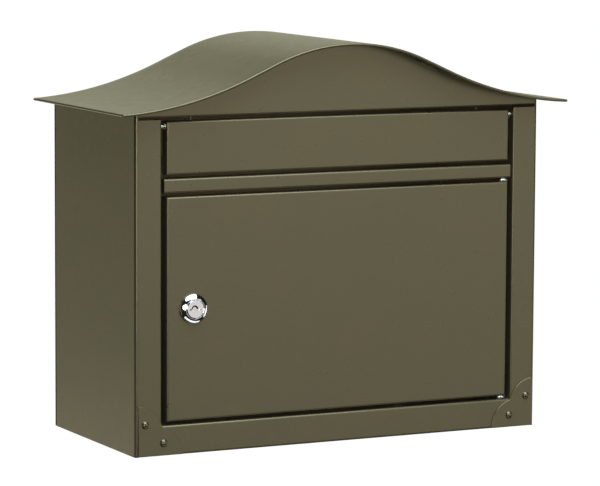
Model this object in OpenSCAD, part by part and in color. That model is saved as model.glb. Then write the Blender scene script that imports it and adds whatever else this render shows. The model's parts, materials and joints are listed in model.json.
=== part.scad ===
// Wall mounted mailbox: a folded sheet steel box with an ogee roof, a sprung mail flap that
// swings inwards and a lockable retrieval door. Millimetres, +Z up, +Y towards the wall.
// The origin is in the wall plane, at the centre of the four wall bolts.

/* [Body] */
// Width over the two side panels
body_w = 394; // [360:2:430]
// Depth from the wall to the front face
body_d = 179; // [160:1:220]
// Thickness of the sheet steel
sheet = 1.2; // [1.0:0.1:1.3]
// Outer radius of the folds
fold_r = 2.0; // [1.8:0.1:2.4]
// Outer radius of the upright front corners of the box
corner_r = 3.0; // [2:0.1:3.4]
// Depth of the lips folded in round the front opening
lip = 12; // [11:0.5:12]

/* [Front] */
// Width of the stile at each side of the front
stile_w = 25; // [22:0.5:30]
// Height of the bottom rail
rail_h = 26.1; // [24:0.1:30]
// Height of the retrieval door
door_h = 194; // [170:1:230]
// Height of the rail between the door and the flap
mid_rail_h = 12.6; // [11:0.1:18]
// Height of the mail flap
flap_h = 46.1; // [42:0.1:60]
// Gap above and below the door and the flap
gap_z = 3.1; // [2.8:0.1:3.6]
// Gap beside the door and the flap
gap_x = 4.5; // [4:0.1:5.5]

/* [Roof] */
// Height of the crest above the bottom of the box
roof_peak = 352; // [350:1:380]
// Radius of the crest, at the top surface
crest_r = 178; // [170:1:185]
// Radius of the two flared sides, at the top surface
valley_r = 332; // [320:1:345]
// Steepest slope of the roof in degrees
roof_slope = 24; // [23:0.5:25]
// Length of the straight part of each slope
slope_len = 28; // [26:1:32]
// How far the roof stands out past each side
eave_x = 20; // [14:1:26]
// How far the roof stands out past the front
eave_y = 20; // [14:1:26]
// Width of the hem folded under the roof's edges
hem_w = 8; // [6:1:10]

/* [Lock] */
// Distance from the door's left edge to the lock
lock_inset = 25; // [22:1:40]
// Diameter of the lock's bezel
bezel_d = 26; // [24:0.5:28]
// How far the plug's face stands out of the door
lock_proud = 5; // [4.8:0.2:6]
// Length of the cam from the lock's axis
cam_len = 38; // [36:1:42]

/* [Wall fixing] */
// Distance between the wall bolts along the wall
bolt_dx = 304; // [240:4:320]
// Distance between the wall bolts up the wall
bolt_dz = 160; // [120:4:180]
// Diameter of each wall bolt hole
bolt_hole_d = 7; // [5:0.5:8]
// Height of the bolt pattern's centre above the bottom of the box
mount_height = 150; // [120:5:170]

/* [Hidden] */

$fn = 64;
eps = 0.05;                                  // gap between sheets that are welded together
fold_steps = 6;
half_w = body_w / 2;
front = -body_d;
stile_in = half_w - stile_w;                 // inner edge of each stile
leaf_half = stile_in - gap_x;                // half width of the door and of the flap
back_skin = -sheet - eps;                    // rear face of the flanges in front of the back

door_z = rail_h + gap_z;
mid_rail_z = door_z + door_h + gap_z;
flap_z = mid_rail_z + mid_rail_h + gap_z;
flap_top = flap_z + flap_h;
gable_z = flap_top + gap_z;
stile_top = flap_top + 1.4;

mitre_gap = 0.15;                            // between the stiles and the bottom rail
side_lip = 14;                               // back flanges of the side and floor panels
floor_half = half_w - sheet - 0.1;
rail_depth = lip + eps + sheet;              // the mid rail's flanges reach behind the lips
gable_return = 10.8;
seam = 0.3;                                  // between the gable panel and the side panels' folds
rail_seam = 2.3;                             // between the mid rail and each stile
tab_w = 21;                                  // tabs of the gable panel under the eave
tab_reach = 6;
drain_x = 130;                               // outer drain holes, from the middle
drain_y = 30;                                // drain holes, from the front
drain_d = 6;

// Flap hinge: the axis runs along X
flap_axis_y = front + 5;
flap_axis_z = flap_top - 4.4;
rod_r = 1.75;
run = 0.05;                                  // radial clearance of everything that turns
flap_depth = 9;
ear_x = 4;                                   // how far the stop ears reach behind the stiles
ear_h = 12;
ear_up = 4;                                  // from the flap's lower edge to its ears
bush_r = 2.5;
bush_flange_r = 4.2;
bush_hub_r = 2.9;

// Springs on the flap's rod
spring_x = 140;                              // where each coil starts, from the middle
coil_turns = 5;
coil_pitch = 1.3;
coil_r = 2.5;
wire_r = 0.45;
wire_sides = 8;
turn_steps = 12;

// Door hinge: the axis runs along Z
door_axis_x = leaf_half - 3.2;
door_axis_y = front + 5.6;
pin_r = 1.5;
pin_head_r = 2.5;
pin_head_h = 1.5;
pin_len = 8.3;                               // how far the pin stands out of the rail's lip
door_bush_r = 1.95;
door_flange_r = 5.4;
door_flange_h = 2.6;
door_hub_r = 2.9;

// Lock, on an axis along Y
lock_x = -leaf_half + lock_inset;
lock_z = door_z + door_h / 2;
barrel_r = 9.3;
barrel_flat = 8;                             // half the width across the barrel's flats
barrel_end = 13.2;                           // rear end of the barrel behind the front face
plug_r = 6.3;
plug_face_r = 7.3;
cam_t = 2;
cam_half = 6;                                // half the width of the cam
tang = 7;                                    // side of the square that drives the cam
keyway_w = 9.4;
keyway_h = 2.2;
wafer_pitch = 1.8;
wafer_t = 1;
wafer_half = 3.05;                           // half the height of a wafer
shutter_y = 0.9;                             // pivot of the dust shutter behind the plug's face
shutter_z = 2.2;
shutter_half = 3.3;
shutter_window_r = 2.3;
shutter_pin_r = 0.4;
nut_h = 4.5;
nut_half = 11;                               // half the width across the nut's flats
nut_round_r = 12.2;
lock_washer_t = 0.8;
cam_washer_t = 1;
screw_r = 1.9;

// Corner plates and rivets, measured from each lower corner of the front
plate_t = 1;
plate_in = 2.4;                              // from the side of the box to the plate
lobe_r = 25.5;
lobe_at = [[0.5, 19], [19, 0.5]];
rivet_at = [[9, 28], [26.2, 11.3]];
rivet_r = 1.6;
rivet_head_r = 3.5;
rivet_head_h = 2.3;
rivet_tail_r = 2.5;

olive = "#5f5a45";
steel = "#c9ccce";
spring_steel = "#8d9094";
brass = "#b59a55";

// ---- Folded sheet -----------------------------------------------------------------------

function unit(v) = v / norm(v);
function right_of(d) = [d.y, -d.x];
function turned(v, a) = [v.x * cos(a) - v.y * sin(a), v.x * sin(a) + v.y * cos(a)];
function backwards(list) = [for (i = [len(list) - 1 : -1 : 0]) list[i]];

// One fold of outer radius bend in a path that always turns right, drawn depth inside the path
function fold(p0, p1, p2, bend, depth) =
    let (
        d0 = unit(p1 - p0),
        turn = acos(d0 * unit(p2 - p1)),
        centre = p1 - d0 * bend * tan(turn / 2) + right_of(d0) * bend
    )
    [for (i = [0 : fold_steps]) centre - (bend - depth) * turned(right_of(d0), -turn * i / fold_steps)];

function folds(path, bends, depth) =
    [for (i = [1 : len(path) - 2]) each fold(path[i - 1], path[i], path[i + 1], bends[i - 1], depth)];

// Closed outline of a sheet whose outer face follows the path, with one bend radius per corner
function bent_outline(path, bends) =
    let (
        last = len(path) - 1,
        n_start = right_of(unit(path[1] - path[0])) * sheet,
        n_end = right_of(unit(path[last] - path[last - 1])) * sheet
    )
    concat(
        [path[0]], folds(path, bends, 0), [path[last], path[last] + n_end],
        backwards(folds(path, bends, sheet)), [path[0] + n_start]
    );

function sheet_outline(path) = bent_outline(path, [for (i = [2 : len(path) - 1]) fold_r]);

// Outline in Y and Z, drawn out along X to both sides of the middle
module along_x(length) {
    rotate([90, 0, 90]) linear_extrude(length, center = true) children();
}

// Outline in X and Z, drawn out along Y from y0 to y1
module along_y(y0, y1) {
    translate([0, y1, 0]) rotate([90, 0, 0]) linear_extrude(y1 - y0) children();
}

module on_wall() {
    translate([0, 0, -mount_height]) children();
}

module both_sides() {
    children();
    mirror([1, 0, 0]) children();
}

// ---- Roof curve -------------------------------------------------------------------------

slope_dir = [cos(roof_slope), -sin(roof_slope)];
slope_up = [sin(roof_slope), cos(roof_slope)];
crest_c = [0, roof_peak - crest_r];
slope_start = crest_c + crest_r * slope_up;
valley_c = slope_start + slope_len * slope_dir + valley_r * slope_up;

// Height of the flared part of the roof at x, off millimetres above its top surface
function flare_z(x, off) = valley_c.y - sqrt(pow(valley_r - off, 2) - pow(valley_c.x - x, 2));

// Right half of the roof curve out to x = half, off millimetres above its top surface
function half_curve(half, off, steps = 12) =
    let (last = asin((valley_c.x - half) / (valley_r - off)))
    concat(
        [for (i = [1 : steps]) crest_c + (crest_r + off) * turned([0, 1], -roof_slope * i / steps)],
        [for (i = [0 : steps])
            let (a = roof_slope + (last - roof_slope) * i / steps)
            valley_c - (valley_r - off) * [sin(a), cos(a)]]
    );

function roof_curve(half, off) =
    let (right = half_curve(half, off))
    concat([for (p = backwards(right)) [-p.x, p.y]], [[0, roof_peak + off]], right);

// A strip of sheet under the roof between two places on its flared part
module flare_strip(x0, x1, top, steps = 4) {
    polygon(concat(
        [for (i = [0 : steps]) let (x = x0 + (x1 - x0) * i / steps) [x, flare_z(x, top)]],
        [for (i = [steps : -1 : 0]) let (x = x0 + (x1 - x0) * i / steps) [x, flare_z(x, top - sheet)]]
    ));
}

roof_half = half_w + eave_x;
roof_front = front - eave_y;
under_roof = -sheet - eps;
wall_top = flare_z(half_w, under_roof);

// The roof's cross-section between two heights above its top surface
module roof_band(high, low) {
    polygon(concat(roof_curve(roof_half, high), backwards(roof_curve(roof_half, low))));
}

module roof_sheet() {
    color(olive) on_wall() {
        along_y(roof_front, 0) roof_band(0, -sheet);
        intersection() {
            along_y(roof_front, 0) roof_band(-sheet / 2, -2 * sheet);
            union() {
                translate([-roof_half - 1, roof_front - 1, 0])
                    cube([2 * roof_half + 2, hem_w + 1, roof_peak]);
                both_sides() translate([roof_half - hem_w, roof_front - 1, 0])
                    cube([hem_w + 1, -roof_front + 2, roof_peak]);
            }
        }
    }
}

// ---- Box --------------------------------------------------------------------------------

// The corner of the front frame, cut along the mitre from the opening to the outer corner
module mitre_line(shift) {
    polygon([
        [stile_in - 1, -1],
        [half_w - corner_r, -1],
        [half_w - corner_r, corner_r * rail_h / stile_w + shift],
        [stile_in, rail_h + shift],
        [stile_in - 1, rail_h + shift]
    ]);
}

module rivet_holes() {
    for (p = rivet_at)
        translate([half_w - p.x, front + 5, p.y]) rotate([90, 0, 0]) cylinder(h = 10, r = rivet_r + run);
}

// The right side panel with its stile; the left one is its mirror image
module side_panel() {
    plan = [
        [half_w - side_lip, back_skin],
        [half_w, back_skin],
        [half_w, front],
        [stile_in, front],
        [stile_in, front + lip]
    ];
    difference() {
        linear_extrude(wall_top - sheet) polygon(bent_outline(plan, [fold_r, corner_r, fold_r]));
        along_y(front - 1, front + lip + 1) mitre_line(mitre_gap);
        translate([stile_in - 1, front - 1, stile_top]) cube([stile_w - corner_r + 1, lip + 2, wall_top]);
        rivet_holes();
        translate([stile_in - 1, flap_axis_y, flap_axis_z])
            rotate([0, 90, 0]) cylinder(h = 4, r = rod_r + run);
    }
    translate([half_w - sheet, front + corner_r, gable_z])
        cube([sheet, back_skin - fold_r - front - corner_r, wall_top - 0.6 - gable_z]);
    along_y(front + sheet + 1, back_skin - fold_r) flare_strip(half_w - side_lip, half_w, under_roof);
}

module left_side_panel() {
    color(olive) on_wall() mirror([1, 0, 0]) side_panel();
}

module right_side_panel() {
    color(olive) on_wall() side_panel();
}

// Floor with the bottom rail of the front folded up from it
module floor_panel() {
    section = [
        [back_skin, side_lip],
        [back_skin, 0],
        [front, 0],
        [front, rail_h],
        [front + lip, rail_h]
    ];
    tray = [[floor_half, side_lip], [floor_half, 0], [-floor_half, 0], [-floor_half, side_lip]];
    color(olive) on_wall() difference() {
        union() {
            along_x(2 * (half_w - corner_r - 0.1)) polygon(sheet_outline(section));
            along_y(front + lip + 4, back_skin - fold_r - 2) polygon(sheet_outline(tray));
        }
        both_sides() {
            along_y(front - 1, front + lip + 1) polygon([
                [stile_in - mitre_gap, rail_h + 1],
                [stile_in - mitre_gap, rail_h - mitre_gap],
                [half_w, -mitre_gap],
                [half_w, rail_h + 1]
            ]);
            rivet_holes();
            // Room for the back flange of the side panel
            translate([half_w - side_lip - 0.1, back_skin - fold_r - 0.1, -1])
                cube([side_lip, fold_r + 1, side_lip + 2]);
        }
        translate([door_axis_x, door_axis_y, rail_h - 3]) cylinder(h = 6, r = pin_r + run);
        for (x = [-drain_x, 0, drain_x])
            translate([x, front + drain_y, -1]) cylinder(h = 4, d = drain_d);
    }
}

module back_panel() {
    color(olive) on_wall() difference() {
        along_y(-sheet, 0)
            polygon(concat([[-half_w, 0]], roof_curve(half_w, under_roof), [[half_w, 0]]));
        for (x = [-1, 1], z = [-1, 1])
            translate([x * bolt_dx / 2, 1, mount_height + z * bolt_dz / 2])
                rotate([90, 0, 0]) cylinder(h = 4, d = bolt_hole_d);
    }
}

// Front wall above the flap, up to the roof, with two tabs welded under the eave
module gable_panel() {
    half = half_w - corner_r - seam;
    section = [[front + gable_return, gable_z], [front, gable_z], [front, gable_z + fold_r + 1]];
    tab_mid = slope_start + slope_dir * slope_len / 2 + slope_up * under_roof;
    color(olive) on_wall() {
        along_y(front, front + sheet)
            polygon(concat(
                [[-half, gable_z + fold_r]], roof_curve(half, under_roof), [[half, gable_z + fold_r]]
            ));
        along_x(2 * half) polygon(sheet_outline(section));
        both_sides()
            translate([tab_mid.x, front - tab_reach, tab_mid.y])
                rotate([0, roof_slope, 0])
                    translate([-tab_w / 2, 0, -sheet]) cube([tab_w, tab_reach + sheet, sheet]);
    }
}

module mid_rail() {
    section = [
        [front + rail_depth, mid_rail_z],
        [front, mid_rail_z],
        [front, mid_rail_z + mid_rail_h],
        [front + rail_depth, mid_rail_z + mid_rail_h]
    ];
    color(olive) on_wall() difference() {
        union() {
            along_x(2 * (stile_in - rail_seam)) polygon(sheet_outline(section));
            both_sides()
                translate([stile_in - 7, front + rail_depth - sheet, mid_rail_z])
                    cube([17, sheet, mid_rail_h]);
        }
        translate([door_axis_x, door_axis_y, mid_rail_z - 2]) cylinder(h = 5, r = pin_r + run);
    }
}

// ---- Corner plates ----------------------------------------------------------------------

module corner_plate() {
    difference() {
        along_y(front - plate_t, front) translate([half_w, 0]) mirror([1, 0]) intersection() {
            union() {
                for (c = lobe_at) translate(c) circle(lobe_r, $fn = 96);
            }
            translate([plate_in, 0.3]) square(lobe_r * 2);
            difference() {
                square(lobe_r * 2);
                translate([stile_w - 0.2, rail_h - 0.2]) square(lobe_r);
            }
        }
        rivet_holes();
    }
}

module left_corner_plate() {
    color(olive) on_wall() mirror([1, 0, 0]) corner_plate();
}

module right_corner_plate() {
    color(olive) on_wall() corner_plate();
}

// Domed head in front of the plate, shank through both sheets, tail set inside
module rivet() {
    dome_r = (pow(rivet_head_r, 2) + pow(rivet_head_h, 2)) / (2 * rivet_head_h);
    intersection() {
        translate([0, 0, plate_t + rivet_head_h - dome_r]) sphere(dome_r);
        translate([0, 0, plate_t]) cylinder(h = 4, r = 4);
    }
    translate([0, 0, -sheet - 0.5]) cylinder(h = sheet + plate_t + 0.6, r = rivet_r);
    translate([0, 0, -sheet - 1]) cylinder(h = 1, r = rivet_tail_r);
}

module corner_rivets() {
    color(olive) on_wall() both_sides()
        for (p = rivet_at)
            translate([half_w - p.x, front, p.y]) rotate([90, 0, 0]) rivet();
}

// ---- Door and flap pans -----------------------------------------------------------------

// A width by depth rectangle whose two front corners are rounded
module rounded_front(w, d, r) {
    translate([-w / 2 + r, 0]) square([w - 2 * r, d]);
    translate([-w / 2, r]) square([w, d - r]);
    for (x = [-1, 1]) translate([x * (w / 2 - r), r]) circle(r, $fn = 32);
}

// A solid block with its four long front edges rounded
module soft_block(w, h, d, r) {
    intersection() {
        linear_extrude(h) rounded_front(w, d, r);
        translate([0, 0, h / 2]) rotate([0, 90, 0]) linear_extrude(w, center = true)
            rounded_front(h, d, r);
    }
}

// A tray of sheet, open at the back, with flanges of the given depth
module pan(w, h, d) {
    difference() {
        soft_block(w, h, d, fold_r);
        translate([0, sheet, sheet]) soft_block(w - 2 * sheet, h - 2 * sheet, d + 1, fold_r - sheet);
    }
}

module flap_panel() {
    ear_y = front + lip + 0.15;
    color(olive) on_wall() difference() {
        union() {
            translate([0, front, flap_z]) pan(2 * leaf_half, flap_h, flap_depth);
            both_sides() translate([0, 0, flap_z + ear_up]) {
                translate([leaf_half - sheet, front + flap_depth - 1, 0])
                    cube([sheet, ear_y + sheet - front - flap_depth + 1, ear_h]);
                translate([leaf_half - sheet, ear_y, 0])
                    cube([sheet + gap_x + ear_x, sheet, ear_h]);
            }
        }
        both_sides() translate([leaf_half - 4, flap_axis_y, flap_axis_z])
            rotate([0, 90, 0]) cylinder(h = 8, r = bush_r + 0.01);
    }
}

// Flanged bush in each side of the flap, with the hub outwards
module flap_bushings() {
    profile = [
        [rod_r + run, -sheet - 0.3], [bush_r, -sheet - 0.3], [bush_r, 0], [bush_flange_r, 0],
        [bush_flange_r, 1.4], [bush_hub_r, 1.4], [bush_hub_r, gap_x - 0.3], [rod_r + run, gap_x - 0.3]
    ];
    color(steel) on_wall() both_sides()
        translate([leaf_half + eps, flap_axis_y, flap_axis_z])
            rotate([0, 90, 0]) rotate_extrude() polygon(profile);
}

module flap_hinge_rod() {
    color(steel) on_wall() translate([0, flap_axis_y, flap_axis_z])
        rotate([0, 90, 0]) cylinder(h = 2 * (stile_in + 5), r = rod_r, center = true);
}

// Push-on caps that keep the rod between the stiles
module flap_rod_clips() {
    color(spring_steel) on_wall() both_sides()
        translate([stile_in + sheet + eps, flap_axis_y, flap_axis_z]) rotate([0, 90, 0])
            rotate_extrude() polygon([
                [rod_r + 0.01, 0], [2.95, 0], [2.95, 0.5], [2.4, 1.4], [rod_r + 0.01, 1.4]
            ]);
}

// ---- Springs ----------------------------------------------------------------------------

// Wire's line: fixed leg behind the gable's return, the coil, then the leg on the flap
function spring_line() =
    let (
        leg_y = gable_return - (flap_axis_y - front) + wire_r + 0.1,
        steps = turn_steps * (coil_turns + 0.25)
    )
    concat(
        [[0, leg_y, 10.5], [0, leg_y, coil_r + 1.2]],
        [[0, leg_y - 0.35, coil_r + 0.35], [0, leg_y - 1.2, coil_r]],
        [for (i = [0 : steps])
            let (a = 360 * i / turn_steps)
            [coil_pitch * i / turn_steps, -coil_r * sin(a), coil_r * cos(a)]],
        [[coil_pitch * (coil_turns + 0.25), -coil_r, -4], [coil_pitch * (coil_turns + 0.25), -3.3, -18]]
    );

function tangent(line, i) = unit(line[min(i + 1, len(line) - 1)] - line[max(i - 1, 0)]);

module wire(line) {
    last = len(line) - 1;
    points = [for (i = [0 : last])
        let (
            t = tangent(line, i),
            n = unit(cross(t, [1, 0, 0])),
            b = cross(t, n)
        )
        for (k = [0 : wire_sides - 1])
            line[i] + wire_r * (n * cos(360 * k / wire_sides) + b * sin(360 * k / wire_sides))];
    walls = [for (i = [0 : last - 1], k = [0 : wire_sides - 1])
        let (m = (k + 1) % wire_sides)
        [i * wire_sides + m, i * wire_sides + k, (i + 1) * wire_sides + k, (i + 1) * wire_sides + m]];
    start_cap = [for (k = [0 : wire_sides - 1]) k];
    end_cap = [for (k = [wire_sides - 1 : -1 : 0]) last * wire_sides + k];
    polyhedron(points, concat(walls, [start_cap, end_cap]), convexity = 10);
}

module flap_spring_right() {
    color(spring_steel) on_wall()
        translate([spring_x, flap_axis_y, flap_axis_z]) wire(spring_line());
}

module flap_spring_left() {
    color(spring_steel) on_wall() mirror([1, 0, 0])
        translate([spring_x, flap_axis_y, flap_axis_z]) wire(spring_line());
}

// ---- Door -------------------------------------------------------------------------------

module flatted_bar(r, flat, h) {
    intersection() {
        cylinder(h = h, r = r);
        translate([-r, -flat, 0]) cube([2 * r, 2 * flat, h]);
    }
}

module at_lock() {
    translate([lock_x, front, lock_z]) rotate([-90, 0, 0]) children();
}

module door_panel() {
    color(olive) on_wall() difference() {
        translate([0, front, door_z]) pan(2 * leaf_half, door_h, lip);
        at_lock() translate([0, 0, -1]) flatted_bar(barrel_r + 0.1, barrel_flat + 0.1, 4);
        for (z = [door_z, door_z + door_h])
            translate([door_axis_x, door_axis_y, z - 2]) cylinder(h = 4, r = door_bush_r + 0.01);
    }
}

// Flanged bush for one end of the door; it fills the gap and carries the door on its pin
module door_bush() {
    rotate_extrude() polygon([
        [pin_r + run, -gap_z + 0.15], [door_hub_r, -gap_z + 0.15], [door_hub_r, -door_flange_h],
        [door_flange_r, -door_flange_h], [door_flange_r, 0], [door_bush_r, 0],
        [door_bush_r, sheet + 0.3], [pin_r + run, sheet + 0.3]
    ]);
}

module door_bushings() {
    color(steel) on_wall() {
        translate([door_axis_x, door_axis_y, door_z - eps]) door_bush();
        translate([door_axis_x, door_axis_y, door_z + door_h + eps]) mirror([0, 0, 1]) door_bush();
    }
}

// Headed pin; the shank points up from the rail's lip into the door
module door_pin() {
    translate([0, 0, -sheet - pin_head_h]) cylinder(h = pin_head_h, r = pin_head_r);
    translate([0, 0, -sheet - 0.5]) cylinder(h = sheet + 0.5 + pin_len, r = pin_r);
}

module door_pin_bottom() {
    color(steel) on_wall() translate([door_axis_x, door_axis_y, rail_h]) door_pin();
}

module door_pin_top() {
    color(steel) on_wall() translate([door_axis_x, door_axis_y, mid_rail_z]) mirror([0, 0, 1]) door_pin();
}

// ---- Lock, drawn along its axis with z = 0 at the door's front face ------------------------

module lock_body() {
    face_z = -lock_proud + 0.5;
    color(steel) on_wall() at_lock() difference() {
        union() {
            rotate_extrude($fn = 96) polygon([
                [0, 0], [bezel_d / 2, 0], [bezel_d / 2, -0.8], [bezel_d / 2 - 0.7, -1.5],
                [plug_face_r + 1.9, face_z + 0.3], [plug_face_r + 1.3, face_z], [0, face_z]
            ]);
            flatted_bar(barrel_r, barrel_flat, barrel_end);
        }
        translate([0, 0, -lock_proud - 1]) cylinder(h = 30, r = plug_r + run);
        translate([0, 0, -lock_proud - 1]) cylinder(h = 2.7, r = plug_face_r + 0.1);
    }
}

module lock_washer() {
    color(spring_steel) on_wall() at_lock() translate([0, 0, sheet + eps])
        difference() {
            cylinder(h = lock_washer_t, r = nut_round_r);
            translate([0, 0, -1]) cylinder(h = 3, r = barrel_r + 0.05);
        }
}

module lock_nut() {
    color(steel) on_wall() at_lock() translate([0, 0, sheet + 2 * eps + lock_washer_t])
        difference() {
            intersection() {
                cylinder(h = nut_h, r = nut_half / cos(30), $fn = 6);
                cylinder(h = nut_h, r = nut_round_r);
            }
            translate([0, 0, -1]) cylinder(h = 7, r = barrel_r + 0.05);
        }
}

// Turning plug: face, round body with the keyway and wafer slots, square tang for the cam
module lock_plug() {
    color(steel) on_wall() at_lock() difference() {
        union() {
            translate([0, 0, -lock_proud]) rotate_extrude() polygon([
                [0, 0], [plug_face_r - 0.4, 0], [plug_face_r, 0.4], [plug_face_r, 1.6],
                [plug_r, 1.6], [plug_r, lock_proud + barrel_end], [0, lock_proud + barrel_end]
            ]);
            translate([-tang / 2, -tang / 2, barrel_end - 1]) cube([tang, tang, cam_t + 0.9]);
        }
        translate([-keyway_w / 2, -keyway_h / 2, -lock_proud - 1])
            cube([keyway_w, keyway_h, lock_proud + barrel_end - 1]);
        // Pocket that the dust shutter swings into, open above the keyway
        translate([-shutter_half - 0.15, -shutter_z - 0.9, -lock_proud + 0.35])
            cube([2 * shutter_half + 0.3, shutter_z + 0.9, 5]);
        translate([0, -keyway_h / 2 + 0.2, -lock_proud - 1]) cylinder(h = 2, r = shutter_window_r);
        translate([-shutter_half - 1, -shutter_z, -lock_proud + shutter_y])
            rotate([0, 90, 0]) cylinder(h = 2 * shutter_half + 2, r = shutter_pin_r + 0.03);
        for (i = [0 : 4])
            translate([-10, -wafer_half - 0.05, wafer_pitch * i + 1.4])
                cube([20, 2 * wafer_half + 0.1, wafer_t + 0.06]);
        translate([0, 0, barrel_end - 4]) cylinder(h = 10, r = screw_r + 0.05);
    }
}

// Dust shutter behind the face, hung on a pin above the keyway
module lock_shutter() {
    color(steel) on_wall() at_lock() {
        translate([-shutter_half - 0.8, -shutter_z, -lock_proud + shutter_y])
            rotate([0, 90, 0]) cylinder(h = 2 * shutter_half + 1.6, r = shutter_pin_r);
        translate([-shutter_half + 0.1, -shutter_z, -lock_proud + shutter_y - 0.4])
            cube([2 * shutter_half - 0.2, shutter_z + keyway_h / 2 - 0.15, 0.5]);
    }
}

// Five brass wafers, each with a window for the key
module lock_wafers() {
    color(brass) on_wall() at_lock() for (i = [0 : 4])
        translate([0, 0, wafer_pitch * i + 1.43]) difference() {
            intersection() {
                cylinder(h = wafer_t, r = plug_r - 0.1);
                translate([-8, -wafer_half, 0]) cube([16, 2 * wafer_half, wafer_t]);
            }
            translate([-keyway_w / 2 + 0.6, -keyway_h / 2 - 0.1, -1])
                cube([keyway_w - 1.2, keyway_h + 0.2, 3]);
        }
}

// Flat cam that hangs down when unlocked and turns behind the left stile
module lock_cam() {
    color(steel) on_wall() at_lock() translate([0, 0, barrel_end + eps]) difference() {
        union() {
            cylinder(h = cam_t - 0.2, r = cam_half + 2);
            translate([-cam_half, 0, 0]) cube([2 * cam_half, cam_len - cam_half, cam_t - 0.2]);
            translate([0, cam_len - cam_half, 0]) cylinder(h = cam_t - 0.2, r = cam_half);
        }
        translate([-tang / 2 - eps, -tang / 2 - eps, -1]) cube([tang + 2 * eps, tang + 2 * eps, 5]);
    }
}

module cam_washer() {
    color(steel) on_wall() at_lock() translate([0, 0, barrel_end + cam_t]) difference() {
        cylinder(h = cam_washer_t, r = 6);
        translate([0, 0, -1]) cylinder(h = 3, r = screw_r + 0.2);
    }
}

module cam_screw() {
    screw_z = barrel_end + cam_t + cam_washer_t + eps;
    color(steel) on_wall() at_lock() translate([0, 0, screw_z]) difference() {
        union() {
            translate([0, 0, -5.5]) cylinder(h = 6, r = screw_r);
            cylinder(h = 2.2, r = 3.6);
        }
        for (a = [0, 90]) rotate(a) translate([-2.2, -0.4, 1.2]) cube([4.4, 0.8, 2]);
    }
}

left_side_panel();
right_side_panel();
floor_panel();
back_panel();
gable_panel();
roof_sheet();
mid_rail();
left_corner_plate();
right_corner_plate();
corner_rivets();
flap_panel();
flap_bushings();
flap_hinge_rod();
flap_rod_clips();
flap_spring_left();
flap_spring_right();
door_panel();
door_bushings();
door_pin_top();
door_pin_bottom();
lock_body();
lock_washer();
lock_nut();
lock_plug();
lock_shutter();
lock_wafers();
lock_cam();
cam_washer();
cam_screw();
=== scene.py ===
"""Looks of a wall mounted mailbox: powder coated sheet steel, plated hinges, chromed cam lock."""

import json
import math

import bmesh
import bpy
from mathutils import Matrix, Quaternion, Vector

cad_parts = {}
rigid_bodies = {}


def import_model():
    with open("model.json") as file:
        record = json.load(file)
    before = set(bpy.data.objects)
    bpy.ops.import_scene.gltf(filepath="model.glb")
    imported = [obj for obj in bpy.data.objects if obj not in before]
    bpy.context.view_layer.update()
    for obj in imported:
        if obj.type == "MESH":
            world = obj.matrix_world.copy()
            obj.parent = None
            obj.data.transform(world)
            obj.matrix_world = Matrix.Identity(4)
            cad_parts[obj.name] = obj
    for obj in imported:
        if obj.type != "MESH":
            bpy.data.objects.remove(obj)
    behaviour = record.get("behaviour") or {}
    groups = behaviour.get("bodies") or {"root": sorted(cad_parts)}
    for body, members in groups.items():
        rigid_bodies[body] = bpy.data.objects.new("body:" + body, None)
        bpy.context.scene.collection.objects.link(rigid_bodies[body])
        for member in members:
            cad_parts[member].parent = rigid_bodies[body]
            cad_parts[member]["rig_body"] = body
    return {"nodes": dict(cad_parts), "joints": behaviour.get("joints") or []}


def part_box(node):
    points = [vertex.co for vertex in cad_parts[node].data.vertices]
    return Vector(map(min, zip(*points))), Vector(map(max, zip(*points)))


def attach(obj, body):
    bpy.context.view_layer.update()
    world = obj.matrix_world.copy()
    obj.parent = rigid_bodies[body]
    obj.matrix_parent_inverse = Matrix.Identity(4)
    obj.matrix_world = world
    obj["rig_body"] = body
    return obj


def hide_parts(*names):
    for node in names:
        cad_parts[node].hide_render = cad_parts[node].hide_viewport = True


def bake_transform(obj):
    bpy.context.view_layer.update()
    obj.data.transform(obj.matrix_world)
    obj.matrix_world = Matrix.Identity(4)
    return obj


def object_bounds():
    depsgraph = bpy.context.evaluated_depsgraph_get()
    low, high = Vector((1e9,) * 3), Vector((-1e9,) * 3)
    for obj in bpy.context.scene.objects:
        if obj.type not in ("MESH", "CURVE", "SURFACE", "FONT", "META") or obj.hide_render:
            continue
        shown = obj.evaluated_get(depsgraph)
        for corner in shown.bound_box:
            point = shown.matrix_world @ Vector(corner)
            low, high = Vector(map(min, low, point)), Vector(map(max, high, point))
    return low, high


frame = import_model()
cad_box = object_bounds()

MM = 0.001
joint_at = {j["name"]: Vector(j["pos_m"]) for j in frame["joints"]}
OUTWARDS = Vector((0, -1, 0))                     # out of the front of the box
TINY = 1e-6                                       # shorter than any real length, in metres

# ---- Sizes that the pieces share, in metres ------------------------------------------------

SHEET = 1.2 * MM
CREST_R = 178 * MM                                # roof curve, at its top surface
VALLEY_R = 332 * MM
SLOPE = math.radians(24)
SLOPE_LEN = 28 * MM
HEM = 8 * MM                                      # width of the fold under the roof's edge
EDGE = 0.3 * MM                                   # rounding that the coat gives to a cut edge
PLATE_EDGE = 0.7 * MM                             # rounding of the corner plates' outline


# ---- Materials -----------------------------------------------------------------------------

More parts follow.
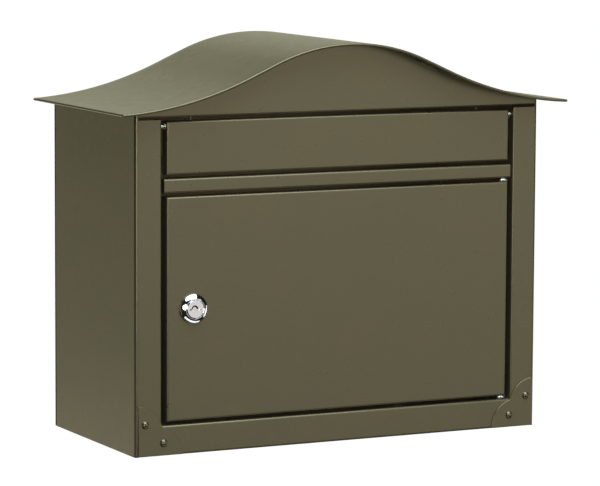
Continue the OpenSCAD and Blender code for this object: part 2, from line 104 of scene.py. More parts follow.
class Graph:
    """Short ways to add and link the nodes of one material."""

    def __init__(self, name, **values):
        self.material = bpy.data.materials.new(name)
        self.material.use_nodes = True
        self.tree = self.material.node_tree
        self.shader = self.tree.nodes["Principled BSDF"]
        for socket, value in values.items():
            self.shader.inputs[socket.replace("_", " ")].default_value = value
        self.place = self.add("TexCoord").outputs["Object"]

    def add(self, kind, inputs=None, **settings):
        """A new node. Its inputs are sockets to link or values to set."""
        made = self.tree.nodes.new("ShaderNode" + kind)
        for key, value in settings.items():
            setattr(made, key, value)
        for key, value in (inputs or {}).items():
            if isinstance(value, bpy.types.NodeSocket):
                self.tree.links.new(value, made.inputs[key])
            else:
                made.inputs[key].default_value = value
        return made

    def noise(self, size, detail):
        """Noise whose features are about that size, in metres."""
        values = {"Vector": self.place, "Scale": 1 / size, "Detail": detail, "Roughness": 0.5}
        return self.add("TexNoise", values).outputs["Fac"]

    def spread(self, value, low, high, start=0.3, end=0.7):
        """Maps a noise from its usual range, start to end, to the range from low to high."""
        values = {"Value": value, "From Min": start, "From Max": end,
                  "To Min": low, "To Max": high}
        return self.add("MapRange", values).outputs["Result"]

    def between(self, share, first, second):
        """A colour between two others, each of them a socket or red, green and blue."""
        factor, first_colour, second_colour, mixed_colour = 0, 6, 7, 2
        sides = {factor: share}
        for key, colour in ((first_colour, first), (second_colour, second)):
            is_socket = isinstance(colour, bpy.types.NodeSocket)
            sides[key] = colour if is_socket else (*colour, 1)
        return self.add("Mix", sides, data_type="RGBA").outputs[mixed_colour]

    def set(self, socket, value):
        """Links a node's output to the shader."""
        self.tree.links.new(value, self.shader.inputs[socket])

    def bump(self, layers):
        """Stacks bumps, each of (height, how deep in metres, strength)."""
        normal = None
        for height, depth, strength in layers:
            values = {"Height": height, "Distance": depth, "Strength": strength}
            if normal:
                values["Normal"] = normal
            normal = self.add("Bump", values).outputs["Normal"]
        self.set("Normal", normal)


def powder_coat(name="powder_coat", low=0.27, high=0.31):
    """Satin bronze coat with metal flake: faint brown and green drift, fine fleck, orange peel.
    low and high are the range of its roughness."""
    g = Graph(name, IOR=1.5, Metallic=0.7)
    fleck_share = 0.35
    drift = g.spread(g.noise(45 * MM, 3), 0, 1, 0.35, 0.65)
    fleck = g.spread(g.noise(0.55 * MM, 2), 0, 1, 0.35, 0.65)
    base = g.between(drift, (0.168, 0.147, 0.080), (0.152, 0.142, 0.080))
    fine = g.between(fleck, (0.146, 0.130, 0.070), (0.174, 0.158, 0.090))
    g.set("Base Color", g.between(fleck_share, base, fine))
    g.set("Roughness", g.spread(g.noise(9 * MM, 4), low, high))
    g.bump([(g.noise(2.4 * MM, 1), 0.006 * MM, 0.3)])
    return g.material


def plated_steel():
    """Zinc plate that is cloudy and slightly yellow in places."""
    g = Graph("plated_steel", Metallic=1.0)
    cloud = g.spread(g.noise(3 * MM, 3), 0, 1)
    g.set("Base Color", g.between(cloud, (0.70, 0.71, 0.68), (0.80, 0.80, 0.75)))
    g.set("Roughness", g.spread(g.noise(1.2 * MM, 4), 0.22, 0.32))
    g.bump([(g.noise(0.8 * MM, 2), 0.004 * MM, 0.3)])
    return g.material


def spring_steel():
    """Drawn wire and pressed spring steel, grey with dull patches."""
    g = Graph("spring_steel", Metallic=1.0)
    cloud = g.spread(g.noise(2 * MM, 3), 0, 1)
    g.set("Base Color", g.between(cloud, (0.27, 0.27, 0.28), (0.36, 0.35, 0.34)))
    g.set("Roughness", g.spread(g.noise(0.8 * MM, 4), 0.28, 0.45))
    g.bump([(g.noise(0.25 * MM, 2), 0.008 * MM, 0.3)])
    return g.material


def chrome():
    """Polished chrome plate, a little smeared from handling."""
    g = Graph("chrome", Metallic=1.0)
    smear = g.spread(g.noise(6 * MM, 2), 0, 1)
    g.set("Base Color", g.between(smear, (0.93, 0.94, 0.93), (0.96, 0.97, 0.96)))
    g.set("Roughness", g.spread(g.noise(1.5 * MM, 4), 0.06, 0.11))
    g.bump([(g.noise(1.1 * MM, 3), 0.004 * MM, 0.2)])
    return g.material


def brass():
    """Stamped brass, worn brighter in places."""
    g = Graph("brass", Metallic=1.0)
    wear = g.spread(g.noise(2 * MM, 3), 0, 1)
    g.set("Base Color", g.between(wear, (0.58, 0.43, 0.17), (0.68, 0.52, 0.24)))
    g.set("Roughness", g.spread(g.noise(0.7 * MM, 3), 0.25, 0.4))
    g.bump([(g.noise(0.3 * MM, 2), 0.006 * MM, 0.3)])
    return g.material


LOOKS = {
    "powder_coat": powder_coat(),
    "rivets": powder_coat("rivets", 0.13, 0.17),
    "plated_steel": plated_steel(),
    "spring_steel": spring_steel(),
    "chrome": chrome(),
    "brass": brass(),
}


# ---- Ways to make a piece ------------------------------------------------------------------

def in_scene(name, bm):
    """An object in the scene with the finished mesh."""
    mesh = bpy.data.meshes.new(name)
    bm.to_mesh(mesh)
    bm.free()
    obj = bpy.data.objects.new(name, mesh)
    bpy.context.scene.collection.objects.link(obj)
    return obj


def even_normals(obj):
    """Lets the large faces of a smooth mesh stay flat in the shading."""
    obj.modifiers.new("normals", "WEIGHTED_NORMAL").keep_sharp = True


def piece(name, bm, slot, body, nodes=(), look=None):
    """Puts a finished mesh in the scene, smooth shaded, on its body and in place of CAD nodes."""
    bmesh.ops.recalc_face_normals(bm, faces=bm.faces)
    obj = in_scene(name, bm)
    obj.data.materials.append(LOOKS[look or slot])
    obj.data.shade_smooth()
    even_normals(obj)
    if body:
        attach(obj, body)
    if nodes:
        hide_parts(*nodes)
    return obj


def refined(node, slot, edge=EDGE):
    """A CAD node with its flat faces joined up and its cut edges rounded by the finish. A wider
    edge than the finish gives is cut round the outline of the front only."""
    source = frame["nodes"][node]
    flat, sharp = math.radians(0.5), 1.0
    only_outline = edge > EDGE
    bm = bmesh.new()
    bm.from_mesh(source.data)
    bmesh.ops.remove_doubles(bm, verts=bm.verts, dist=TINY)
    bmesh.ops.dissolve_limit(bm, angle_limit=flat, verts=bm.verts, edges=bm.edges)
    if only_outline:
        weights = bm.edges.layers.float.new("bevel_weight_edge")
        front = min(v.co.y for v in bm.verts) + 0.01 * MM
        for e in bm.edges:
            in_front = all(v.co.y < front for v in e.verts)
            e[weights] = in_front and e.calc_face_angle(0) > sharp
    obj = piece(node + "_fine", bm, slot, source["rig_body"], [node])
    if edge:
        bevelled(obj, edge, 4 if only_outline else 3, by_weight=only_outline)


def softened(outline, radius, closed=False, steps=4):
    """An outline in 2D with every corner rounded off, as far as its sides are long enough."""
    most = 0.45                                   # of a side, for one corner
    count = len(outline)
    points = []
    for i, at in enumerate(outline):
        here = Vector(at)
        if not closed and i in (0, count - 1):
            points.append(here)
            continue
        before, after = Vector(outline[i - 1]) - here, Vector(outline[(i + 1) % count]) - here
        cut = min(radius, before.length * most, after.length * most)
        start, end = here + before.normalized() * cut, here + after.normalized() * cut
        for k in range(steps + 1):
            t = k / steps
            points.append(start * (1 - t) ** 2 + here * 2 * t * (1 - t) + end * t ** 2)
    return points


def turned(bm, outline, at, axis, segments=72, closed=True, limit=None):
    """Adds an outline of (radius, height) turned round an axis. limit gives the largest radius
    at an angle, which cuts a hexagon."""
    turn = Vector(axis).to_track_quat("Z", "Y")
    rings = []
    for r, h in outline:
        if r < TINY:
            rings.append([bm.verts.new(Vector(at) + turn @ Vector((0, 0, h)))] * segments)
            continue
        ring = []
        for k in range(segments):
            angle = 2 * math.pi * k / segments
            reach = min(r, limit(angle)) if limit else r
            ring.append(bm.verts.new(
                Vector(at) + turn @ Vector((reach * math.cos(angle), reach * math.sin(angle), h))))
        rings.append(ring)
    pairs = list(zip(rings, rings[1:]))
    if closed:
        pairs.append((rings[-1], rings[0]))
    for first, second in pairs:
        for k in range(segments):
            corners = list(dict.fromkeys((first[k - 1], first[k], second[k], second[k - 1])))
            if len(corners) > 2:
                bm.faces.new(corners)


def tube(bm, line, radius, sides=16):
    """Adds a round wire along a line of points, with domed ends."""
    dome = [(0.45, 0.8), (0.8, 0.35)]             # how far out and how wide, by the radius
    angles = [2 * math.pi * k / sides for k in range(sides)]
    line = [Vector(p) for p in line]
    normal = None
    rings = []
    last = len(line) - 1
    for i, at in enumerate(line):
        ahead = (line[min(i + 1, last)] - line[max(i - 1, 0)]).normalized()
        if normal is None:
            normal = ahead.orthogonal()
        normal = (normal - ahead * normal.dot(ahead)).normalized()
        across = ahead.cross(normal)
        here = [(0, 1.0)]
        if i == 0:
            here = [(-shift, share) for shift, share in reversed(dome)] + here
        elif i == last:
            here += dome
        for shift, share in here:
            middle, reach = at + ahead * shift * radius, radius * share
            rings.append([bm.verts.new(
                middle + reach * (normal * math.cos(a) + across * math.sin(a))) for a in angles])
    for first, second in zip(rings, rings[1:]):
        for k in range(sides):
            bm.faces.new((first[k - 1], first[k], second[k], second[k - 1]))
    bm.faces.new(rings[0])
    bm.faces.new(rings[-1])


def hexagon(half_width):
    """Limit for turned(): a hexagon by half its width across the flats."""
    step = math.radians(60)
    return lambda angle: half_width / math.cos((angle % step) - step / 2)


def cut(obj, cutter):
    """Cuts one piece's mesh with another, and keeps the result as the mesh."""
    obj.modifiers.clear()
    boolean = obj.modifiers.new("cut", "BOOLEAN")
    boolean.object = cutter
    boolean.operation = "DIFFERENCE"
    boolean.solver = "EXACT"
    result = obj.evaluated_get(bpy.context.evaluated_depsgraph_get())
    mesh = bpy.data.meshes.new_from_object(result)
    obj.modifiers.clear()
    obj.data = mesh
    bpy.data.objects.remove(cutter)
    even_normals(obj)


def bevelled(obj, width, segments, by_weight=False):
    """Rounds the edges that are sharper than 35 degrees, or those that carry a weight."""
    bevel = obj.modifiers.new("edges", "BEVEL")
    bevel.width = width
    bevel.segments = segments
    bevel.limit_method = "WEIGHT" if by_weight else "ANGLE"
    bevel.angle_limit = math.radians(35)
    bevel.use_clamp_overlap = not by_weight
    obj.modifiers.move(len(obj.modifiers) - 1, 0)


# ---- Roof ----------------------------------------------------------------------------------

ROOF_LOW, ROOF_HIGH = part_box("roof_sheet")


def roof_point(across, up):
    """The point of the roof's section at a distance along its top surface, and up off it."""
    side = math.copysign(1, across)
    s = abs(across)
    crest = CREST_R * SLOPE
    peak = ROOF_HIGH.z
    start = Vector((CREST_R * math.sin(SLOPE), peak - CREST_R * (1 - math.cos(SLOPE))))
    down = Vector((math.cos(SLOPE), -math.sin(SLOPE)))
    out = Vector((math.sin(SLOPE), math.cos(SLOPE)))
    if s < crest:
        angle = s / CREST_R
        normal = Vector((math.sin(angle), math.cos(angle)))
        at = Vector((0, peak - CREST_R)) + normal * (CREST_R + up)
    elif s < crest + SLOPE_LEN:
        at = start + down * (s - crest) + out * up
    else:
        angle = SLOPE - (s - crest - SLOPE_LEN) / VALLEY_R
        centre = start + down * SLOPE_LEN + out * VALLEY_R
        at = centre - Vector((math.sin(angle), math.cos(angle))) * (VALLEY_R - up)
    return Vector((side * at.x, at.y))


def roof_reach():
    """Distance along the top surface from the crest to the eave's outer edge."""
    half, halvings = ROOF_HIGH.x, 50
    low, high = 0.0, 2 * half
    for _ in range(halvings):
        middle = (low + high) / 2
        if roof_point(middle, -SHEET).x < half:
            low = middle
        else:
            high = middle
    return low


def roof():
    """The ogee sheet with the hem rolled under its front and side edges, in one closed skin."""
    reach, front = roof_reach(), ROOF_LOW.y
    across_steps, back_steps, corner_steps, nose_steps = 150, 24, 6, 9
    corner_r, top_inset = 2 * MM, 2.5 * MM
    bm = bmesh.new()

    def vertex(across, y, up):
        at = roof_point(across, up)
        return bm.verts.new((at.x, y, at.y))

    def ring(inset, up):
        """Vertices that go round the sheet's edge from back left to back right."""
        wide, deep = reach - inset, front + inset
        r = max(corner_r - inset, 0)
        flat = deep + r
        side = [i / back_steps for i in range(back_steps)]
        turn = [math.pi / 2 * i / corner_steps for i in range(corner_steps + 1)]
        if r:
            bend = [(wide - r + r * math.cos(a), flat - r * math.sin(a)) for a in turn]
        else:
            bend = [(wide, flat)]
        left = [vertex(-wide, flat * t, up) for t in side]
        first = [vertex(-x, y, up) for x, y in bend]
        span = wide - r
        middle = [vertex(span * (2 * i / across_steps - 1), deep, up)
                  for i in range(1, across_steps)]
        second = [vertex(x, y, up) for x, y in reversed(bend)]
        right = [vertex(wide, flat * t, up) for t in reversed(side)]
        if not r:
            first, second = first * (corner_steps + 1), second * (corner_steps + 1)
        return left + first + middle + second + right

    def join(first, second):
        """Faces between two rows of vertices, where some may be the same."""
        for a, b, c, d in zip(first, first[1:], second[1:], second):
            corners = list(dict.fromkeys((a, b, c, d)))
            if len(corners) > 2:
                bm.faces.new(corners)

    def field(edge, inset, up):
        """Fills the sheet inside a ring that has sharp corners, and returns its back row."""
        wide = reach - inset
        left = edge[:back_steps]
        front_row = edge[back_steps + corner_steps:len(edge) - back_steps - corner_steps]
        right = edge[len(edge) - back_steps:][::-1]
        rows = []
        for low, high in zip(left, right):
            inner = [vertex(wide * (2 * i / across_steps - 1), low.co.y, up)
                     for i in range(1, across_steps)]
            rows.append([low, *inner, high])
        rows.append(front_row)
        for near, far in zip(rows, rows[1:]):
            join(near, far)
        return rows[0]

    nose = [ring(SHEET * (1 - math.sin(a)), SHEET * (math.cos(a) - 1))
            for a in (math.pi * i / nose_steps for i in range(nose_steps + 1))]
    hem = [ring(HEM - EDGE, -2 * SHEET), ring(HEM - 0.1 * EDGE, -2 * SHEET + 0.4 * EDGE),
           ring(HEM, -SHEET)]
    rings = [ring(top_inset, 0), *nose, *hem]
    for first, second in zip(rings, rings[1:]):
        join(first, second)
    top_row, under_row = field(rings[0], top_inset, 0), field(rings[-1], HEM, -SHEET)
    join(top_row, under_row)
    for end in (0, -1):
        bm.faces.new([r[end] for r in rings])
    piece("roof_sheet_fine", bm, "powder_coat", "housing", ["roof_sheet"])


# ---- Hinges and springs --------------------------------------------------------------------

DOOR_LOW, DOOR_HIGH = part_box("door_panel")
LEAF_HALF = DOOR_HIGH.x                           # half width of the door and of the flap
GAP_X = 4.5 * MM                                  # beside the door and the flap
STILE_IN = LEAF_HALF + GAP_X                      # inner edge of a stile, from the middle
PLAY = 0.05 * MM                                  # running clearance round pins and rods
ROD_R = 1.75 * MM


def scaled(points):
    """An outline that is written in millimetres, in metres."""
    return [(r * MM, h * MM) for r, h in points]


def flap_bushings():
    """Flanged bush in each side of the flap, hub outwards."""
    bore, inner, hub, step, flange = 1.8, 2.5, 2.2, 3.4, 4.2
    outline = softened(scaled([
        (bore, -1.5), (inner, -1.5), (inner, 0), (step, 0), (step, 0.75), (flange, 0.75),
        (flange, 1.4), (hub, 1.4), (hub, 4.2), (bore, 4.2)
    ]), 0.25 * MM, closed=True)
    bm = bmesh.new()
    for side in (1, -1):
        at = joint_at["flap_swing"] + Vector((side * (LEAF_HALF + PLAY), 0, 0))
        turned(bm, outline, at, (side, 0, 0))
    piece("flap_bushings_fine", bm, "plated_steel", "flap", ["flap_bushings"])


def flap_rod():
    """Hinge rod whose chamfered ends reach through the stiles' lips."""
    past_stile, chamfer = 5 * MM, 0.5 * MM
    half, end_r = STILE_IN + past_stile, 1.3 * MM
    outline = [(0, -half), (end_r, -half), (ROD_R, -half + chamfer)]
    outline += [(r, -h) for r, h in reversed(outline)]
    bm = bmesh.new()
    turned(bm, softened(outline, 0.2 * MM), joint_at["flap_swing"], (1, 0, 0), 32, closed=False)
    piece("flap_hinge_rod_fine", bm, "plated_steel", "housing", ["flap_hinge_rod"])


def rod_clips():
    """Push-on caps, each a flange with a collar that grips the rod."""
    bore, flange = 1.76, 2.95
    outline = softened(scaled([
        (bore, 0), (flange, 0), (flange, 0.5), (2.4, 0.62), (2.25, 1.4), (bore, 1.4)
    ]), 0.12 * MM, closed=True)
    bm = bmesh.new()
    for side in (1, -1):
        at = joint_at["flap_swing"] + Vector((side * (STILE_IN + SHEET + PLAY), 0, 0))
        turned(bm, outline, at, (side, 0, 0), 48)
    piece("flap_rod_clips_fine", bm, "spring_steel", "housing", ["flap_rod_clips"])


def spring_line(start_x, side):
    """Leg behind the gable, coil round the rod, and leg on the flap, from the middle outwards.
    start_x is where the coil begins; the second result is the coil's length."""
    coil_r, pitch, turns, steps = 2.5 * MM, 1.3 * MM, 5.25, 40
    leg_y, bend_r, bend_steps = 6.35 * MM, 1.2 * MM, 9
    line = [(0, leg_y, z * MM) for z in (10.5, 9, 7, 5.4)]
    line += [(0, leg_y - bend_r * (1 - math.cos(a)), coil_r + bend_r * (1 - math.sin(a)))
             for a in (math.pi / 2 * i / bend_steps for i in range(bend_steps + 1))]
    line += [(0, y * MM, coil_r) for y in (4, 2.8, 1.4)]
    for i in range(int(turns * steps) + 1):
        angle = 2 * math.pi * i / steps
        line.append((pitch * i / steps, -coil_r * math.sin(angle), coil_r * math.cos(angle)))
    far = pitch * turns
    flap_leg = [(-2.5, -1.6), (-2.52, -4), (-2.75, -8), (-3.05, -13), (-3.3, -17.6)]
    line += [(far, y * MM, z * MM) for y, z in flap_leg]
    at = joint_at["flap_swing"]
    return [Vector((side * (start_x + x), at.y + y, at.z + z)) for x, y, z in line], far


def flap_spring(name, side):
    """Torsion spring; its turns wind up between the housing and the flap."""
    wire_r, inset = 0.45 * MM, 0.6 * MM
    low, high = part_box(name)
    start_x = (low.x if side > 0 else -high.x) + wire_r
    line, far = spring_line(start_x, side)
    bm = bmesh.new()
    tube(bm, line, wire_r)
    spring = piece(name + "_fine", bm, "spring_steel", None)
    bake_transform(spring)
    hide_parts(name)


def door_hinges():
    """Pins that stand in the rails, and the flanged bushes that turn on them."""
    axis = joint_at["door_swing"]
    bore, hub, flange = 1.55, 1.95, 5.4
    bush = softened(scaled([
        (bore, -2.95), (2.9, -2.95), (2.9, -2.6), (flange, -2.6), (flange, 0), (hub, 0),
        (hub, 1.5), (bore, 1.5)
    ]), 1.1 * MM, closed=True, steps=8)
    pin_r, head_r, head_end, pin_end = 1.5, 2.5, -2.7, 8.3
    pin = softened(scaled([
        (0, head_end), (2.2, head_end), (head_r, -2.4), (head_r, -1.2), (pin_r, -1.2),
        (pin_r, 7.8), (1.0, pin_end), (0, pin_end)
    ]), 0.2 * MM)
    bushes = bmesh.new()
    for name, end, pin_edge, up in (
            ("bottom", DOOR_LOW.z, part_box("door_pin_bottom")[0].z, 1),
            ("top", DOOR_HIGH.z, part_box("door_pin_top")[1].z, -1)):
        rail = pin_edge - up * head_end * MM
        turned(bushes, bush, (axis.x, axis.y, end - up * PLAY), (0, 0, up))
        bm = bmesh.new()
        turned(bm, pin, (axis.x, axis.y, rail), (0, 0, up), 48, closed=False)
        piece(f"door_pin_{name}_fine", bm, "plated_steel", "housing", [f"door_pin_{name}"])
    piece("door_bushings_fine", bushes, "plated_steel", "door", ["door_bushings"])


def rivets():
    """Domed rivets with a thin collar round the head, upset behind the sheet."""
    dome_r, rise, plate, collar, dome_steps = 3.5, 2.3, 1.0, 0.12, 14
    upset_r, shank_r, sheet_back = 2.5, 1.6, -1.2
    places = (9.0, 28.0), (26.2, 11.3)            # in from the box's side and up from its floor
    curve_r = (dome_r ** 2 + rise ** 2) / (2 * rise)
    sweep = math.asin(dome_r / curve_r)
    outline = [(0, -2.6), (1.9, -2.6), (upset_r, -2.2), (upset_r, sheet_back),
               (shank_r, sheet_back), (shank_r, plate), (dome_r, plate), (dome_r, plate + collar)]
    outline += [(curve_r * math.sin(a), plate + rise - curve_r * (1 - math.cos(a)))
                for a in (sweep * (1 - i / dome_steps) for i in range(1, dome_steps + 1))]
    box_side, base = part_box("back_panel")[1].x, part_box("floor_panel")[0].z
    front = joint_at["lock_turn"].y               # the door's face is flush with the box's front
    bm = bmesh.new()
    for side in (1, -1):
        for across, up in places:
            at = (side * (box_side - across * MM), front, base + up * MM)
            turned(bm, scaled(outline), at, OUTWARDS, 48, closed=False)
    piece("corner_rivets_fine", bm, "powder_coat", "housing", ["corner_rivets"], "rivets")


# ---- Lock: in millimetres, with heights in front of the door's face --------------------------

LOCK_AT = joint_at["lock_turn"]
BARREL_R, BARREL_FLAT, BARREL_END = 9.3, 8.0, -13.2
CORE_R = 6.3                                      # the plug's core, which turns in the barrel
SEAT = 1.9                                        # height where the barrel's bore widens
FACE = 5.0                                        # height of the plug's face
KEYWAY = 4.7                                      # half width of the keyway
KEY_LOW, KEY_HIGH = -0.95, 0.1                    # lower and upper side of the keyway
DIMPLE = (-0.7, 0.3)                              # middle of the dimple, across and up


def lock_body():
    """Bezel that falls ever steeper from the plug to its rim, and a barrel with a grooved thread
    and two flats."""
    inner_r, outer_r, rise, steps = 8.6, 12.3, 4.6, 12
    inner_slope, outer_slope = math.tan(math.radians(20)), math.tan(math.radians(38))
    steeper = (outer_slope - inner_slope) / (outer_r - inner_r) / 2
    dome = [(inner_r + out, rise - inner_slope * out - steeper * out ** 2)
            for out in ((outer_r - inner_r) * i / steps for i in range(steps + 1))]
    well_r, lip_r, rim_r = 7.8, 8.4, 13.0
    lip = [(well_r, SEAT), (well_r, 3.2), (lip_r, 3.2), (8.5, 4.5)]
    rim = [(12.75, 1.95), (rim_r, 1.3), (rim_r, 0), (BARREL_R, 0)]
    pitch, depth, thread_start, unthreaded = 1.0, 0.5, -1.6, 2.2
    groove = [(0, 0), (0, -0.2), (-depth, -0.55), (-depth, -0.7)]
    turns = int((-BARREL_END - unthreaded) / pitch)
    thread = [(BARREL_R + out, thread_start - i * pitch + along)
              for i in range(turns) for out, along in groove]
    bore_r, chamfer = CORE_R + 0.05, 0.6
    bore = [(BARREL_R - chamfer, BARREL_END), (bore_r, BARREL_END), (bore_r, SEAT)]
    bm = bmesh.new()
    turned(bm, scaled(lip + dome + rim + thread + bore), LOCK_AT, OUTWARDS, 128)
    for v in bm.verts:
        over = abs(v.co.z - LOCK_AT.z) - BARREL_FLAT * MM
        if v.co.y > LOCK_AT.y + TINY and over > 0:
            v.co.z -= math.copysign(over, v.co.z - LOCK_AT.z)
    piece("lock_body_fine", bm, "chrome", "door", ["lock_body"])


def lock_fasteners():
    """Washer and hexagon nut behind the door's skin."""
    bore, washer_r, washer_front, washer_back = BARREL_R + 0.05, 12.2, -1.27, -2.03
    washer = softened(scaled([
        (bore, washer_front), (washer_r, washer_front), (washer_r, washer_back),
        (bore, washer_back)
    ]), 0.2 * MM, closed=True)
    bm = bmesh.new()
    turned(bm, washer, LOCK_AT, OUTWARDS, 96)
    piece("lock_washer_fine", bm, "spring_steel", "door", ["lock_washer"])
    face_r, corner_r, half_flats, nut_front, nut_back = 11.6, 12.5, 11 * MM, -2.12, -6.6
    nut = softened(scaled([
        (bore, nut_front), (face_r, nut_front), (corner_r, -2.7), (corner_r, -6.0),
        (face_r, nut_back), (bore, nut_back)
    ]), 0.15 * MM, closed=True)
    bm = bmesh.new()
    turned(bm, nut, LOCK_AT, OUTWARDS, 144, limit=hexagon(half_flats))
    piece("lock_nut_fine", bm, "plated_steel", "door", ["lock_nut"])


def box_mesh(low, high):
    """A block between two corners."""
    bm = bmesh.new()
    bmesh.ops.create_cube(bm, size=1)
    for v in bm.verts:
        v.co = Vector((a + b) / 2 + c * (b - a) for a, b, c in zip(low, high, v.co))
    return bm


def block_cutter(half_x, z_range, heights):
    """A cutting block across the lock's axis."""
    (bottom, top), (back, front) = z_range, heights
    low, high = Vector((-half_x, -front, bottom)) * MM, Vector((half_x, -back, top)) * MM
    return in_scene("cutter", box_mesh(LOCK_AT + low, LOCK_AT + high))


def round_cutter(outline, across, up, sides, floor=-math.inf):
    """A cutting shape turned about a line along the lock's axis, cut off flat below a floor."""
    bm = bmesh.new()
    at = LOCK_AT + Vector((across, 0, up)) * MM
    turned(bm, scaled(outline), at, OUTWARDS, sides, closed=False)
    for v in bm.verts:
        v.co.z = max(v.co.z, LOCK_AT.z + floor * MM)
    bmesh.ops.recalc_face_normals(bm, faces=bm.faces)
    return in_scene("cutter", bm)


def lock_plug():
    """Plug with a dimple over a narrow keyway in its face, and a square tang for the cam."""
    head_r, head_back, above = 7.6, 2.0, FACE + 1
    outline = softened(scaled([
        (0, BARREL_END), (CORE_R, BARREL_END), (CORE_R, head_back), (head_r, head_back),
        (head_r, FACE), (0, FACE)
    ]), 0.15 * MM)
    bm = bmesh.new()
    turned(bm, outline, LOCK_AT, OUTWARDS, 96, closed=False)
    plug = piece("lock_plug_fine", bm, "chrome", "lock", ["lock_plug"])

    dimple_floor, dimple_low = FACE - 0.8, -0.6
    dimple = [(0, dimple_floor), (1.5, dimple_floor), (3.1, FACE - 0.32), (3.2, above), (0, above)]
    cut(plug, round_cutter(dimple, *DIMPLE, 48, dimple_low))

    keyway_floor, key_end, key_half = FACE - 4, -12, 3
    cut(plug, block_cutter(KEYWAY, (KEY_LOW, KEY_HIGH), (keyway_floor, above)))
    cut(plug, block_cutter(key_half, (KEY_LOW, KEY_HIGH), (key_end, FACE)))
    end_r, end_up = 0.85, -0.35
    end = [(0, keyway_floor), (end_r, keyway_floor), (end_r, above), (0, above)]
    for side in (-1, 1):
        cut(plug, round_cutter(end, side * KEYWAY, end_up, 24))

    shutter_room = (-1.0, 3.1), (FACE - 5.3, FACE - 0.74)
    cut(plug, block_cutter(3.45, *shutter_room))

    half, into_barrel, length = 3.5, 1, 3.9
    start = -BARREL_END - into_barrel
    low, high = Vector((-half, start, -half)) * MM, Vector((half, start + length, half)) * MM
    tang = piece("lock_tang_fine", box_mesh(LOCK_AT + low, LOCK_AT + high), "chrome", "lock")
    bevelled(tang, 0.4 * MM, 2)


def lock_shutter():
    """Dust shutter: a small plate with rounded edges that hangs on its pin."""
    at = joint_at["shutter_swing"]
    half_width, drop, front, back = 3.2, 3.1, -0.105, 0.345
    pin_r, pin_half = 0.2, 4.1
    plate = box_mesh(at + Vector((-half_width, front, -drop)) * MM,
                     at + Vector((half_width, back, 0)) * MM)
    bmesh.ops.bevel(plate, geom=plate.edges[:], offset=0.08 * MM, segments=2, affect="EDGES")
    pin = scaled([(0, -pin_half), (pin_r, -pin_half), (pin_r, pin_half), (0, pin_half)])
    turned(plate, softened(pin, 0.05 * MM), at, (1, 0, 0), 20, closed=False)
    piece("lock_shutter_fine", plate, "chrome", "shutter", ["lock_shutter"])


# ---- Stage ---------------------------------------------------------------------------------

def stage():
    """A pale floor well below the hanging box, curving up far away all round."""
    drop, reach, curve_r, curve_steps, sides = 1.0, 9.0, 6.0, 12, 72
    curve_end = math.radians(120)
    low = cad_box[0].z - drop
    outline = [(reach + curve_r * math.sin(a), low + curve_r * (1 - math.cos(a)))
               for a in (curve_end * i / curve_steps for i in range(curve_steps + 1))]
    bm = bmesh.new()
    rows = [[bm.verts.new((r * math.cos(a), r * math.sin(a), z))
             for a in (2 * math.pi * k / sides for k in range(sides))] for r, z in outline]
    bm.faces.new(rows[0])
    for near, far in zip(rows, rows[1:]):
        for k in range(sides):
            bm.faces.new((near[k], near[k - 1], far[k - 1], far[k]))
    floor = in_scene("floor", bm)
    floor.data.materials.append(
        Graph("floor", Base_Color=(0.9, 0.9, 0.9, 1), Emission_Color=(1, 1, 1, 1),
              Emission_Strength=1.0).material)
    floor.visible_diffuse = False
    floor.visible_glossy = False
    floor.visible_shadow = False


def facing(direction, roll):
    """The rotation of a light or camera that looks in a direction."""
    return direction.to_track_quat("-Z", "Y") @ Quaternion((0, 0, 1), roll)


def light(name, away, distance, size, brightness, colour=(1, 1, 1), shows_in="both",
          is_round=False, turn=0):
    """A soft box that faces the box from a direction. brightness is how bright its face looks,
    and turn is about its own axis, in degrees."""
    data = bpy.data.lights.new(name, "AREA")
    data.shape = "ELLIPSE" if is_round else "RECTANGLE"
    data.size, data.size_y = size
    area = size[0] * size[1] * (math.pi / 4 if is_round else 1)
    data.energy = brightness * math.pi * area
    data.color = colour
    obj = bpy.data.objects.new(name, data)
    away = Vector(away).normalized()
    obj.location = (cad_box[0] + cad_box[1]) / 2 + away * distance
    obj.rotation_mode = "QUATERNION"
    obj.rotation_quaternion = facing(-away, math.radians(turn))
    obj.visible_camera = False
    obj.visible_diffuse = shows_in != "reflections"
    obj.visible_glossy = shows_in != "surfaces"
    bpy.context.scene.collection.objects.link(obj)


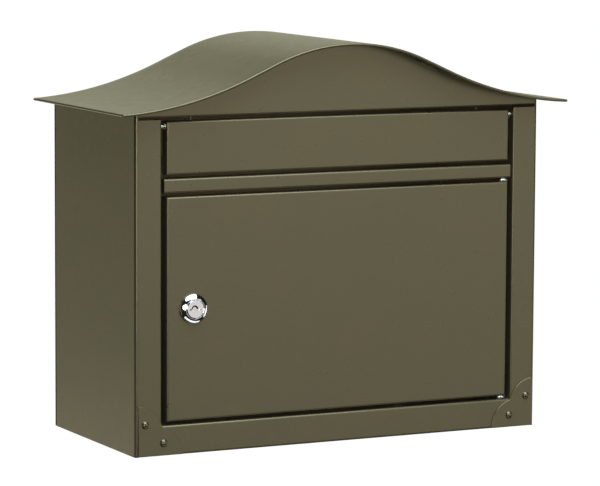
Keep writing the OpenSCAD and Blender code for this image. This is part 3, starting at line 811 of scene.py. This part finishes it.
def lights():
    """Large soft boxes all round, so that the satin coat has something pale to reflect. The last
    five are small: two for the chromed bezel, three for the inside of the open box."""
    cool, warm, rose = (0.89, 1.0, 1.12), (1, 0.965, 0.94), (1.0, 0.82, 0.9)
    yellow, brown = (0.97, 1.0, 0.76), (1.0, 0.86, 0.58)
    straw, cream = (1.0, 0.96, 0.70), (1.0, 0.97, 0.90)
    near = 0.02
    light("front", (0.44, -0.88, 0.06), 2.6, (2.4, 2.4), 0.66, warm)
    light("front_high", (0.44, -0.88, 0.24), 2.6, (2.4, 1.2), 0.38, warm)
    light("top", (0.0, -0.45, 0.89), 2.1, (2.3, 2.3), 4.0, cool)
    light("left", (-0.50, -0.86, 0.03), 2.4, (1.35, 1.0), 3.2, is_round=True)
    light("behind", (0.33, 0.93, 0.24), 2.8, (3.5, 1.0), 0.60, yellow)
    light("behind_high", (0.33, 0.85, 0.52), 2.8, (3.5, 0.9), 0.28, brown)
    light("behind_left", (-0.44, 0.88, -0.40), 2.6, (2.2, 2.2), 0.43, straw)
    light("behind_low", (0.15, 0.85, -0.55), 2.8, (4.5, 1.8), 0.60, cream)
    light("left_low", (-0.88, 0.22, -0.40), 2.6, (1.6, 1.1), 0.7)
    light("right_low", (0.95, 0.10, -0.40), 2.6, (2.2, 1.2), 0.6)
    light("top_back", (0.1, 0.50, 0.86), 2.3, (3.0, 1.3), 0.5)
    light("low", (0.06, -0.46, -1.0), 1.1, (0.22, 1.6), 1.1, shows_in="reflections", turn=71)
    light("right", (0.96, -0.09, -0.28), 2.4, (0.35, 1.3), 1.1, shows_in="reflections")
    light("inside", (0, -1, 0), near, (0.3, 0.24), 0.6, rose, shows_in="surfaces")
    light("inside_right", (-1, 0, 0), near, (0.1, 0.2), 1.2, rose, shows_in="surfaces")
    light("inside_left", (1, 0, 0), near, (0.1, 0.2), 1.2, rose, shows_in="surfaces")
    world = bpy.data.worlds.new("studio")
    world.use_nodes = True
    background = world.node_tree.nodes["Background"].inputs
    background["Color"].default_value = (1, 1, 1, 1)
    background["Strength"].default_value = 0.012
    bpy.context.scene.world = world
    bpy.context.scene.view_settings.view_transform = "Standard"


def camera():
    """A long lens from the front left, slightly above."""
    yaw, pitch, roll = (math.radians(a) for a in (26.51, 6.85, 0.30))
    aim, distance = Vector((8.9, -80.0, 14.6)) * MM, 3.0625
    lens_mm, sensor_mm, far = 203.5, 36, 100
    level = math.cos(pitch)
    back = Vector((-math.sin(yaw) * level, -math.cos(yaw) * level, math.sin(pitch)))
    data = bpy.data.cameras.new("camera")
    data.sensor_fit = "HORIZONTAL"
    data.sensor_width = sensor_mm
    data.lens = lens_mm
    data.clip_end = far
    obj = bpy.data.objects.new("camera", data)
    obj.location = aim + back * distance
    obj.rotation_mode = "QUATERNION"
    obj.rotation_quaternion = facing(-back, roll)
    bpy.context.scene.collection.objects.link(obj)
    bpy.context.scene.camera = obj


# ---- The whole scene -----------------------------------------------------------------------

COATED = (
    "left_side_panel", "right_side_panel", "floor_panel", "back_panel", "gable_panel", "mid_rail",
    "left_corner_plate", "right_corner_plate", "flap_panel", "door_panel",
)

OTHER_EDGES = {"gable_panel": 0, "left_corner_plate": PLATE_EDGE, "right_corner_plate": PLATE_EDGE}

camera()
stage()
lights()
for node in COATED:
    refined(node, "powder_coat", OTHER_EDGES.get(node, EDGE))
roof()
rivets()
flap_bushings()
flap_rod()
rod_clips()
flap_spring("flap_spring_right", 1)
flap_spring("flap_spring_left", -1)
door_hinges()
lock_body()
lock_fasteners()
lock_plug()
lock_shutter()
refined("lock_cam", "plated_steel")
refined("cam_washer", "plated_steel", 0.15 * MM)
refined("cam_screw", "plated_steel", 0.12 * MM)
refined("lock_wafers", "brass", 0.08 * MM)
for obj in frame["nodes"].values():
    if not obj.hide_render:                       # a CAD node that no piece replaces
        slot = obj.data.materials[0].name.split(".")[0] if obj.data.materials else ""
        obj.data.materials.clear()
        obj.data.materials.append(LOOKS.get(slot, LOOKS["plated_steel"]))
